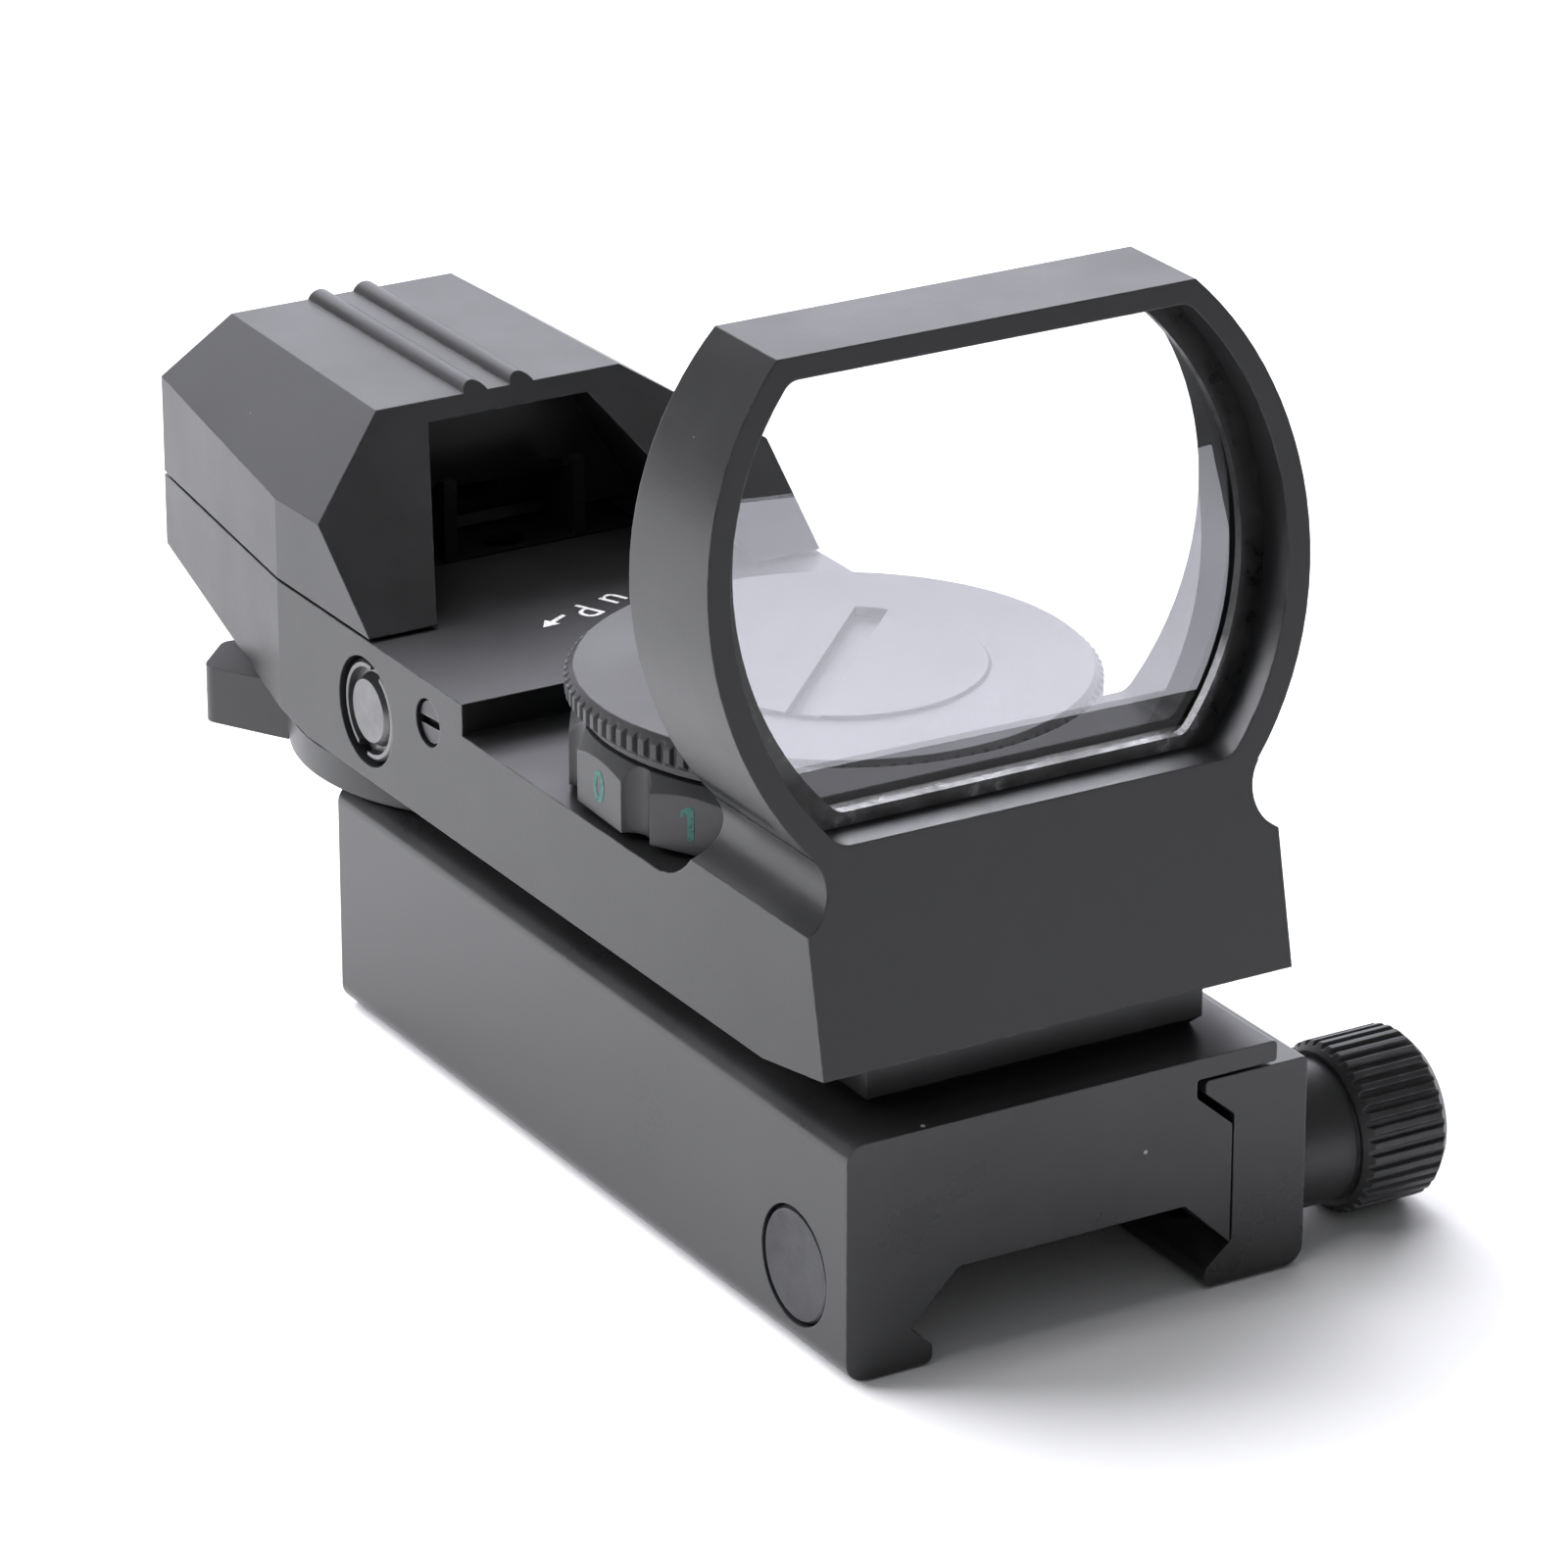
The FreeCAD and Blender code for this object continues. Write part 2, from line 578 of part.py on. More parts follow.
def board_screws():
    screws = []
    for x in (-4.4, 4.4):
        screw = upright(1.0, x, 40.2, 14.7, 15.2).fuse(upright(0.6, x, 40.2, 12.95, 15))
        screws.append(screw)
    return Part.makeCompound(screws)


def emitter_led():
    base = upright(1.25, 0, LED_Y, 14.7, 15.2)
    return base.fuse(upright(1.0, 0, LED_Y, 15.1, 15.7))


def yoke_pin():
    collar = upright(1.4, 0, YOKE_PIVOT_Y, 15.0, 17.75)
    return collar.fuse(upright(1.0, 0, YOKE_PIVOT_Y, 14.5, 19.2))


def windage_yoke():
    corners = [(-2.2, 23.4, 0.4), (1.2, 23.4, 0.4), (1.2, 33.2, 0), (2.2, 34.0, 0),
               (2.2, 45.2, 0.6), (-2.2, 45.2, 0.6)]
    plate = bar_z(corners, 17.8, 19.0)
    plate = plate.fuse(block(-1.4, 1.2, 23.4, 25.6, 14.0, 18.0))
    cuts = [upright(1.05, 0, YOKE_PIVOT_Y, 17, 20), upright(1.5, 0, LED_Y, 17, 20)]
    cuts.append(rod(0.98, point(-5, WINDAGE_Y, WINDAGE_Z), point(5, WINDAGE_Y, WINDAGE_Z)))
    return plate.cut(cuts)


def windage_screw():
    screw = upright(3.15, 0, 0, 0, 1.05)
    rim = [edge for edge in screw.Edges if edge.BoundBox.ZMin > 1.0 and edge.Length > 15]
    screw = screw.makeChamfer(0.2, rim)
    screw = screw.cut([upright(2.7, 0, 0, 0.5, 2), slot_cut(-18, 1.15, 8, 0, 0, 0.35, 2)])
    screw = screw.fuse(Part.makeCone(2.4, 1.95, 0.8, point(0, 0, 0.3), Z_AXIS))
    screw = screw.fuse(upright(0.9, 0, 0, -15.6, 0.3))
    screw.rotate(point(0, 0, 0), Y_AXIS, -90)
    screw.translate(point(-14.0, WINDAGE_Y, WINDAGE_Z))
    return screw


def windage_spring():
    return coil(1.35, 0.16, 0.8, 3.0, point(-5.6, WINDAGE_Y, WINDAGE_Z), X_AXIS)


def elevation_screw():
    screw = upright(3.1, 0, 0, 19.15, 20.1)
    screw = screw.cut([ring_z(2.3, 1.0, 0, 0, 19.8, 21), slot_cut(25, 0.9, 8, 0, 0, 19.6, 21)])
    screw = screw.fuse(upright(0.8, 0, 0, 14.2, 19.5))
    screw.translate(point(ELEVATION_X, ELEVATION_Y, 0))
    return screw


def elevation_spring():
    return coil(1.2, 0.14, 0.45, 0.75, point(ELEVATION_X, ELEVATION_Y, 17.45), Z_AXIS)


def elevation_lock_screw():
    screw = upright(1.3, 0, 0, 0, 0.8)
    screw = screw.cut(slot_cut(-86, 0.5, 4, 0, 0, 0.35, 2))
    screw = screw.fuse(upright(0.58, 0, 0, -15.2, 0.2))
    screw.rotate(point(0, 0, 0), Y_AXIS, -90)
    screw.translate(point(-14.25, LOCK_Y, LOCK_Z))
    return screw


def mirror_cradle():
    arm = bar_x([(17.6, 15.2, 0), (20.6, 15.2, 0), (24.6, 17.3, 0), (36.0, 17.3, 0),
                 (36.0, 19.8, 0), (34.2, 19.8, 0), (34.2, 18.5, 0), (24.0, 18.5, 0),
                 (20.0, 16.6, 0), (17.6, 16.6, 0)], 2.6, 4.6)
    boss = upright(1.6, ELEVATION_X, ELEVATION_Y, 15.0, 16.75)
    plate = block(-8.6, 8.6, 33.8, 46.9, 19.35, 20.1)
    barrel = rod(1.2, point(-8.6, CRADLE_Y, CRADLE_Z), point(8.6, CRADLE_Y, CRADLE_Z))
    cradle = plate.fuse([arm, boss, barrel, block(-8.6, 8.6, 45.8, 46.4, 18.6, 20)])
    cheek = [(33.8, 19.6, 0), (37.5, 19.6, 0), (37.5, 22.2, 0), (34.5, 25.2, 0),
             (33.8, 25.2, 0)]
    for x0, x1 in ((-4.9, -4.05), (4.05, 4.9)):
        cradle = cradle.fuse(bar_x(cheek, x0, x1))
    cuts = [upright(1.5, 0, LED_Y, 18, 21)]
    cuts.append(upright(0.98, ELEVATION_X, ELEVATION_Y, 14, 17))
    cuts.append(rod(0.66, point(-9, CRADLE_Y, CRADLE_Z), point(9, CRADLE_Y, CRADLE_Z)))
    return cradle.cut(cuts)


def cradle_pin():
    return rod(0.6, point(-10.4, CRADLE_Y, CRADLE_Z), point(10.4, CRADLE_Y, CRADLE_Z))


def beam_mirror():
    glass = [(33.9, 24.8, 0), (37.2, 21.5, 0), (37.5, 22.1, 0), (34.5, 25.1, 0)]
    return bar_x(glass, -4.05, 4.05)


NODES = [
    ("body_housing", body_housing), ("hood", hood), ("hood_screws", hood_screws),
    ("objective_lens", objective_lens), ("lens_gasket", lens_gasket),
    ("riser_plate", riser_plate), ("riser_screws", riser_screws),
    ("clamp_base", clamp_base), ("cross_bolt", cross_bolt), ("clamp_spring", clamp_spring),
    ("bottom_cover", bottom_cover), ("cover_screws", cover_screws),
    ("switch_board", switch_board), ("detent_ball", detent_ball),
    ("detent_spring", detent_spring), ("emitter_board", emitter_board),
    ("board_screws", board_screws), ("emitter_led", emitter_led), ("yoke_pin", yoke_pin),
    ("cradle_pin", cradle_pin), ("windage_spring", windage_spring),
    ("elevation_spring", elevation_spring), ("clamp_jaw", clamp_jaw),
    ("thumb_nut", thumb_nut), ("dial_ring", dial_ring), ("dial_wiper", dial_wiper),
    ("dial_retainer", dial_retainer), ("dial_screw", dial_screw), ("coin_cell", coin_cell),
    ("battery_spring", battery_spring), ("cap_o_ring", cap_o_ring),
    ("battery_cap", battery_cap), ("selector_disc", selector_disc),
    ("selector_screw", selector_screw), ("reticle_wheel", reticle_wheel),
    ("windage_yoke", windage_yoke), ("windage_screw", windage_screw),
    ("elevation_screw", elevation_screw), ("elevation_lock_screw", elevation_lock_screw),
    ("mirror_cradle", mirror_cradle), ("beam_mirror", beam_mirror),
]

os.makedirs("parts", exist_ok=True)
for name, make in NODES:
    make().exportStep("parts/" + name + ".step")
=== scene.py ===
import json
import math

import bmesh
import bpy
from mathutils import Matrix, Vector


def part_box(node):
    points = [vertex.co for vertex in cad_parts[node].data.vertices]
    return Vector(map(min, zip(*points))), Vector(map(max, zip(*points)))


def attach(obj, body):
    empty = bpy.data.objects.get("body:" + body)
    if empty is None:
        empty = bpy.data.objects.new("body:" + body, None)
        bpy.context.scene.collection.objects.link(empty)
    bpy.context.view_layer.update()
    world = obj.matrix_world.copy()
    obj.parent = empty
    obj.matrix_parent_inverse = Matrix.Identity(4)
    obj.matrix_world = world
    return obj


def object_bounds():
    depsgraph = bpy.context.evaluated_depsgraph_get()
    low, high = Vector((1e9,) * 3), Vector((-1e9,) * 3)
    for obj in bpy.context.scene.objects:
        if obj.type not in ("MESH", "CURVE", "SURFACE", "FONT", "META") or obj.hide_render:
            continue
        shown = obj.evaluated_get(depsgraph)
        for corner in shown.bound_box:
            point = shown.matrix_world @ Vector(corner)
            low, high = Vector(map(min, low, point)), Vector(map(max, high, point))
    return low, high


MM = 0.001
LENS_SLOPE = 0.2142            # run along Y for each unit of height
LENS_THICKNESS = 2.4 * MM
LENS_AXIS_Z = 37.15 * MM
LENS_UPPER_CORNER = 1.1 * MM
LENS_LOWER_CORNER = 1.4 * MM
DIAL_FLATS = 12
DIAL_APOTHEM = 14.78 * MM
DIAL_FIRST_FLAT = 177.6        # degrees about +Z
NUMBER_Z = 20.5 * MM
NUMBER_SIZE = 2.65 * MM
NUMBER_PITCH = 1.35 * MM
DECK_Z = 20.2 * MM
CAMERA_PLACE = (-203.01, -342.18, 181.02)
CAMERA_YAW = -30.57            # degrees
CAMERA_DIP = 22.47

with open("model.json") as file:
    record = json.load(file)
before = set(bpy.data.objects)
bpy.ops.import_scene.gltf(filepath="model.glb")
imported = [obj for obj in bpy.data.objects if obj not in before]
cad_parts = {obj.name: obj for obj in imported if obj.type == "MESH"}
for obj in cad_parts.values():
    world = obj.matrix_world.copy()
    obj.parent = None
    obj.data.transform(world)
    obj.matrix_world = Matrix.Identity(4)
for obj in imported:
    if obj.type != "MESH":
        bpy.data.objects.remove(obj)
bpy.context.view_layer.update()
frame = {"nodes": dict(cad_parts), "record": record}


# ---------------------------------------------------------------- node helpers

class Sheet:
    """A node tree being laid out, with short calls to add a node and wire it up."""

    def __init__(self, tree):
        self.tree = tree
        self.count = 0

    def add(self, kind, **settings):
        node = self.tree.nodes.new(kind)
        node.location = (220 * (self.count % 6), -260 * (self.count // 6))
        self.count += 1
        for name, value in settings.items():
            setattr(node, name, value)
        return node

    def plug(self, source, target):
        self.tree.links.new(source, target)

    def math(self, operation, first, second=None, clamp=False):
        node = self.add("ShaderNodeMath", operation=operation, use_clamp=clamp)
        for socket, value in zip(node.inputs, (first, second)):
            if value is None:
                continue
            if isinstance(value, (int, float)):
                socket.default_value = value
            else:
                self.plug(value, socket)
        return node.outputs[0]

    def spread(self, value, low, high, out_low=0.0, out_high=1.0):
        node = self.add("ShaderNodeMapRange", clamp=True)
        self.plug(value, node.inputs["Value"])
        for name, number in (("From Min", low), ("From Max", high),
                             ("To Min", out_low), ("To Max", out_high)):
            if isinstance(number, (int, float)):
                node.inputs[name].default_value = number
            else:
                self.plug(number, node.inputs[name])
        return node.outputs["Result"]

    def blend(self, amount, first, second):
        node = self.add("ShaderNodeMix", data_type="RGBA")
        self.plug(amount, node.inputs["Factor"])
        for name, value in (("A", first), ("B", second)):
            socket = [s for s in node.inputs if s.name == name and s.type == "RGBA"][0]
            if isinstance(value, tuple):
                socket.default_value = value
            else:
                self.plug(value, socket)
        return [s for s in node.outputs if s.type == "RGBA"][0]

    def noise(self, scale, detail=2.0, rough=0.5, vector=None):
        node = self.add("ShaderNodeTexNoise")
        node.inputs["Detail"].default_value = detail
        node.inputs["Roughness"].default_value = rough
        if isinstance(scale, (int, float)):
            node.inputs["Scale"].default_value = scale
        else:
            self.plug(scale, node.inputs["Scale"])
        self.plug(vector or self.place(), node.inputs["Vector"])
        return node.outputs["Fac"]

    def place(self):
        return self.add("ShaderNodeTexCoord").outputs["Object"]


def new_group(name, inputs, outputs):
    """Shader group with named sockets; returns its sheet, its input node and its output node."""
    group = bpy.data.node_groups.new(name, "ShaderNodeTree")
    for label, kind, value in inputs:
        socket = group.interface.new_socket(label, in_out="INPUT", socket_type=kind)
        socket.default_value = value
    for label, kind in outputs:
        group.interface.new_socket(label, in_out="OUTPUT", socket_type=kind)
    sheet = Sheet(group)
    return sheet, sheet.add("NodeGroupInput"), sheet.add("NodeGroupOutput")


FLOAT = "NodeSocketFloat"
COLOUR = "NodeSocketColor"


def group_blasted_grain():
    """Bead-blasted skin under anodising: fine pits over a slow unevenness."""
    sheet, given, out = new_group("blasted grain", [("Scale", FLOAT, 6000.0)],
                                  [("Height", FLOAT)])
    fine = sheet.noise(given.outputs["Scale"], detail=3.0, rough=0.65)
    slow = sheet.noise(sheet.math("MULTIPLY", given.outputs["Scale"], 0.11), detail=2.0)
    total = sheet.math("ADD", fine, sheet.math("MULTIPLY", slow, 0.35))
    sheet.plug(total, out.inputs["Height"])
    return sheet.tree


def group_dyed_skin():
    """Dye of the anodised skin: cloudy tone, handled patches and a roughness to match."""
    sheet, given, out = new_group(
        "dyed skin",
        [("Dark", COLOUR, (0.01, 0.01, 0.011, 1)), ("Pale", COLOUR, (0.03, 0.03, 0.034, 1)),
         ("Scale", FLOAT, 160.0), ("Gloss low", FLOAT, 0.35), ("Gloss high", FLOAT, 0.5)],
        [("Color", COLOUR), ("Roughness", FLOAT)])
    cloud = sheet.noise(given.outputs["Scale"], detail=4.0, rough=0.6)
    patch = sheet.noise(sheet.math("MULTIPLY", given.outputs["Scale"], 0.3), detail=2.0)
    tone = sheet.math("MULTIPLY", sheet.math("ADD", cloud, patch), 0.5)
    tone = sheet.spread(tone, 0.35, 0.65)
    sheet.plug(sheet.blend(tone, given.outputs["Dark"], given.outputs["Pale"]),
               out.inputs["Color"])
    sheet.plug(sheet.spread(tone, 0.0, 1.0, given.outputs["Gloss low"],
                            given.outputs["Gloss high"]), out.inputs["Roughness"])
    return sheet.tree


def group_rubbed_edge():
    """Mask of the outer edges where the dye is rubbed thin, broken up by noise."""
    sheet, given, out = new_group("rubbed edge", [("Amount", FLOAT, 0.5)], [("Mask", FLOAT)])
    soft = sheet.add("ShaderNodeBevel", samples=4)
    soft.inputs["Radius"].default_value = 0.16 * MM
    face = sheet.add("ShaderNodeNewGeometry")
    dot = sheet.add("ShaderNodeVectorMath", operation="DOT_PRODUCT")
    sheet.plug(soft.outputs["Normal"], dot.inputs[0])
    sheet.plug(face.outputs["Normal"], dot.inputs[1])
    turn = sheet.spread(dot.outputs["Value"], 0.995, 0.86)
    broken = sheet.spread(sheet.noise(900.0, detail=3.0), 0.42, 0.62)
    mask = sheet.math("MULTIPLY", sheet.math("MULTIPLY", turn, broken), given.outputs["Amount"])
    sheet.plug(mask, out.inputs["Mask"])
    return sheet.tree


def group_dust():
    """Sparse pale specks and lint, scattered over all of the skin."""
    sheet, given, out = new_group("dust", [("Scale", FLOAT, 420.0), ("Amount", FLOAT, 0.5)],
                                  [("Mask", FLOAT)])
    cell = sheet.add("ShaderNodeTexVoronoi", feature="F1")
    cell.inputs["Randomness"].default_value = 1.0
    sheet.plug(sheet.place(), cell.inputs["Vector"])
    sheet.plug(given.outputs["Scale"], cell.inputs["Scale"])
    split = sheet.add("ShaderNodeSeparateColor")
    sheet.plug(cell.outputs["Color"], split.inputs["Color"])
    chosen = sheet.spread(split.outputs[0], 0.93, 0.94)
    size = sheet.spread(split.outputs[1], 0.0, 1.0, 0.03, 0.09)
    core = sheet.math("LESS_THAN", cell.outputs["Distance"], size)
    mask = sheet.math("MULTIPLY", sheet.math("MULTIPLY", core, chosen), given.outputs["Amount"])
    sheet.plug(mask, out.inputs["Mask"])
    return sheet.tree


def group_turning_marks():
    """Fine circular lathe lines about an upright axis through Centre."""
    sheet, given, out = new_group(
        "turning marks", [("Centre", "NodeSocketVector", (0, 0, 0)), ("Pitch", FLOAT, 9000.0)],
        [("Height", FLOAT)])
    shift = sheet.add("ShaderNodeVectorMath", operation="SUBTRACT")
    sheet.plug(sheet.place(), shift.inputs[0])
    sheet.plug(given.outputs["Centre"], shift.inputs[1])
    split = sheet.add("ShaderNodeSeparateXYZ")
    sheet.plug(shift.outputs[0], split.inputs[0])
    flat = sheet.add("ShaderNodeCombineXYZ")
    sheet.plug(split.outputs[0], flat.inputs[0])
    sheet.plug(split.outputs[1], flat.inputs[1])
    size = sheet.add("ShaderNodeVectorMath", operation="LENGTH")
    sheet.plug(flat.outputs[0], size.inputs[0])
    along = sheet.add("ShaderNodeCombineXYZ")
    sheet.plug(sheet.math("MULTIPLY", size.outputs["Value"], given.outputs["Pitch"]),
               along.inputs[0])
    lines = sheet.noise(1.0, detail=2.0, rough=0.7, vector=along.outputs[0])
    sheet.plug(lines, out.inputs["Height"])
    return sheet.tree


def group_drawn_lines():
    """Straight milling or drawing lines: noise stretched along the row's Y axis."""
    sheet, given, out = new_group("drawn lines", [("Scale", FLOAT, 4000.0)],
                                  [("Height", FLOAT)])
    stretch = sheet.add("ShaderNodeMapping")
    stretch.inputs["Scale"].default_value = (1.0, 0.03, 1.0)
    sheet.plug(sheet.place(), stretch.inputs["Vector"])
    sheet.plug(sheet.noise(given.outputs["Scale"], detail=2.0, vector=stretch.outputs[0]),
               out.inputs["Height"])
    return sheet.tree


def group_lens_ledge():
    """Mask of the dull ledge behind the lens, at the foot of its opening."""
    sheet, given, out = new_group("lens ledge", [("Top", FLOAT, 0.0262)], [("Mask", FLOAT)])
    split = sheet.add("ShaderNodeSeparateXYZ")
    sheet.plug(sheet.place(), split.inputs[0])
    low = sheet.spread(split.outputs["Z"], given.outputs["Top"], 0.0258)
    high = sheet.spread(split.outputs["Z"], 0.02510, 0.02520)
    ahead = sheet.spread(split.outputs["Y"], -0.0235, -0.0232)
    behind = sheet.spread(split.outputs["Y"], -0.0150, -0.0153)
    mask = sheet.math("MULTIPLY", sheet.math("MULTIPLY", low, high),
                      sheet.math("MULTIPLY", ahead, behind))
    sheet.plug(mask, out.inputs["Mask"])
    return sheet.tree


GRAIN = group_blasted_grain()
LEDGE = group_lens_ledge()
SKIN = group_dyed_skin()
RUBBED = group_rubbed_edge()
DUST = group_dust()
TURNED = group_turning_marks()
DRAWN = group_drawn_lines()


# ---------------------------------------------------------------- materials

def new_material(name):
    material = bpy.data.materials.new(name)
    material.use_nodes = True
    material.node_tree.nodes.clear()
    sheet = Sheet(material.node_tree)
    shader = sheet.add("ShaderNodeBsdfPrincipled")
    surface = sheet.add("ShaderNodeOutputMaterial")
    sheet.plug(shader.outputs["BSDF"], surface.inputs["Surface"])
    return material, sheet, shader


def use(sheet, tree, **values):
    node = sheet.add("ShaderNodeGroup")
    node.node_tree = tree
    for name, value in values.items():
        node.inputs[name.replace("_", " ")].default_value = value
    return node


def raise_surface(sheet, shader, height, strength, depth, edge=0.0):
    bump = sheet.add("ShaderNodeBump")
    bump.inputs["Strength"].default_value = strength
    bump.inputs["Distance"].default_value = depth
    sheet.plug(height, bump.inputs["Height"])
    if edge:
        soft = sheet.add("ShaderNodeBevel", samples=4)
        soft.inputs["Radius"].default_value = edge
        sheet.plug(soft.outputs["Normal"], bump.inputs["Normal"])
    sheet.plug(bump.outputs["Normal"], shader.inputs["Normal"])


def anodised(name, dark, pale, gloss, grain=5200.0, depth=0.012, level=0.5, wear=0.35,
             dust=0.6, edge=0.13, lines=0.0, centre=None, dull_walls=False):
    """Black anodised aluminium: dyed skin, blasted or turned grain, rubbed edges and dust."""
    material, sheet, shader = new_material(name)
    skin = use(sheet, SKIN, Dark=dark + (1,), Pale=pale + (1,), Gloss_low=gloss[0],
               Gloss_high=gloss[1])
    rub = use(sheet, RUBBED, Amount=wear)
    specks = use(sheet, DUST, Amount=dust)
    colour = sheet.blend(rub.outputs[0], skin.outputs["Color"], (0.17, 0.17, 0.18, 1))
    colour = sheet.blend(specks.outputs[0], colour, (0.55, 0.54, 0.52, 1))
    sheet.plug(colour, shader.inputs["Base Color"])
    rough = sheet.math("ADD", skin.outputs["Roughness"],
                       sheet.math("MULTIPLY", specks.outputs[0], 0.4), clamp=True)
    sheet.plug(rough, shader.inputs["Roughness"])
    shader.inputs["Specular IOR Level"].default_value = level
    if dull_walls:
        inside = use(sheet, LEDGE).outputs[0]
        sheet.plug(sheet.spread(inside, 0.0, 1.0, level, 0.06),
                   shader.inputs["Specular IOR Level"])
    height = use(sheet, GRAIN, Scale=grain).outputs[0]
    if lines:
        marks = use(sheet, DRAWN, Scale=3600.0).outputs[0]
        height = sheet.math("ADD", height, sheet.math("MULTIPLY", marks, lines))
    if centre:
        marks = use(sheet, TURNED, Centre=centre).outputs[0]
        height = sheet.math("ADD", height, sheet.math("MULTIPLY", marks, 1.6))
    raise_surface(sheet, shader, height, 0.5, depth * MM, edge * MM)
    return material


def bare_metal(name, dark, pale, gloss, grain=5000.0, wear=0.5, depth=0.01, centre=None):
    """Uncoated or blackened metal with a turned or drawn finish."""
    material, sheet, shader = new_material(name)
    skin = use(sheet, SKIN, Dark=dark + (1,), Pale=pale + (1,), Scale=700.0,
               Gloss_low=gloss[0], Gloss_high=gloss[1])
    rub = use(sheet, RUBBED, Amount=wear)
    sheet.plug(sheet.blend(rub.outputs[0], skin.outputs["Color"], (0.6, 0.59, 0.57, 1)),
               shader.inputs["Base Color"])
    sheet.plug(skin.outputs["Roughness"], shader.inputs["Roughness"])
    shader.inputs["Metallic"].default_value = 1.0
    if centre:
        height = use(sheet, TURNED, Centre=centre).outputs[0]
    else:
        height = use(sheet, DRAWN, Scale=grain).outputs[0]
    raise_surface(sheet, shader, height, 0.45, depth * MM, 0.06 * MM)
    return material


def moulded(name, dark, pale, gloss, scale=900.0, coat=0.0):
    """Moulded, rubber or printed material with a cloudy tone and a fine texture."""
    material, sheet, shader = new_material(name)
    skin = use(sheet, SKIN, Dark=dark + (1,), Pale=pale + (1,), Scale=scale,
               Gloss_low=gloss[0], Gloss_high=gloss[1])
    sheet.plug(skin.outputs["Color"], shader.inputs["Base Color"])
    sheet.plug(skin.outputs["Roughness"], shader.inputs["Roughness"])
    shader.inputs["Coat Weight"].default_value = coat
    raise_surface(sheet, shader, use(sheet, GRAIN, Scale=2600.0).outputs[0], 0.35, 0.02 * MM)
    return material


def coated_glass():
    """Lightly tinted plate with faint wiping marks and a few dust motes."""
    material, sheet, shader = new_material("coated_glass")
    smear = sheet.spread(sheet.noise(70.0, detail=3.0), 0.45, 0.75)
    specks = use(sheet, DUST, Scale=260.0, Amount=0.7)
    colour = sheet.blend(smear, (0.80, 0.80, 0.82, 1), (0.77, 0.77, 0.795, 1))
    colour = sheet.blend(specks.outputs[0], colour, (0.75, 0.75, 0.78, 1))
    sheet.plug(colour, shader.inputs["Base Color"])
    sheet.plug(sheet.spread(smear, 0.0, 1.0, 0.0, 0.002), shader.inputs["Roughness"])
    shader.inputs["Transmission Weight"].default_value = 1.0
    shader.inputs["IOR"].default_value = 1.5
    return material


def front_mirror():
    material, sheet, shader = new_material("front_mirror")
    haze = sheet.spread(sheet.noise(300.0, detail=3.0), 0.4, 0.8, 0.02, 0.08)
    sheet.plug(haze, shader.inputs["Roughness"])
    tint = sheet.blend(sheet.noise(120.0), (0.72, 0.73, 0.76, 1), (0.82, 0.82, 0.84, 1))
    sheet.plug(tint, shader.inputs["Base Color"])
    shader.inputs["Metallic"].default_value = 1.0
    return material


def printed_ink(name, dark, pale):
    """Filled paint: slightly uneven, with worn pinholes."""
    material, sheet, shader = new_material(name)
    chips = sheet.spread(sheet.noise(5200.0, detail=3.0), 0.36, 0.46)
    sheet.plug(sheet.blend(chips, dark + (1,), pale + (1,)), shader.inputs["Base Color"])
    sheet.plug(sheet.spread(chips, 0.0, 1.0, 0.65, 0.45), shader.inputs["Roughness"])
    raise_surface(sheet, shader, chips, 0.3, 0.01 * MM)
    return material


def middle(node):
    """Centre of a CAD node's box."""
    low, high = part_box(node)
    return (low + high) / 2


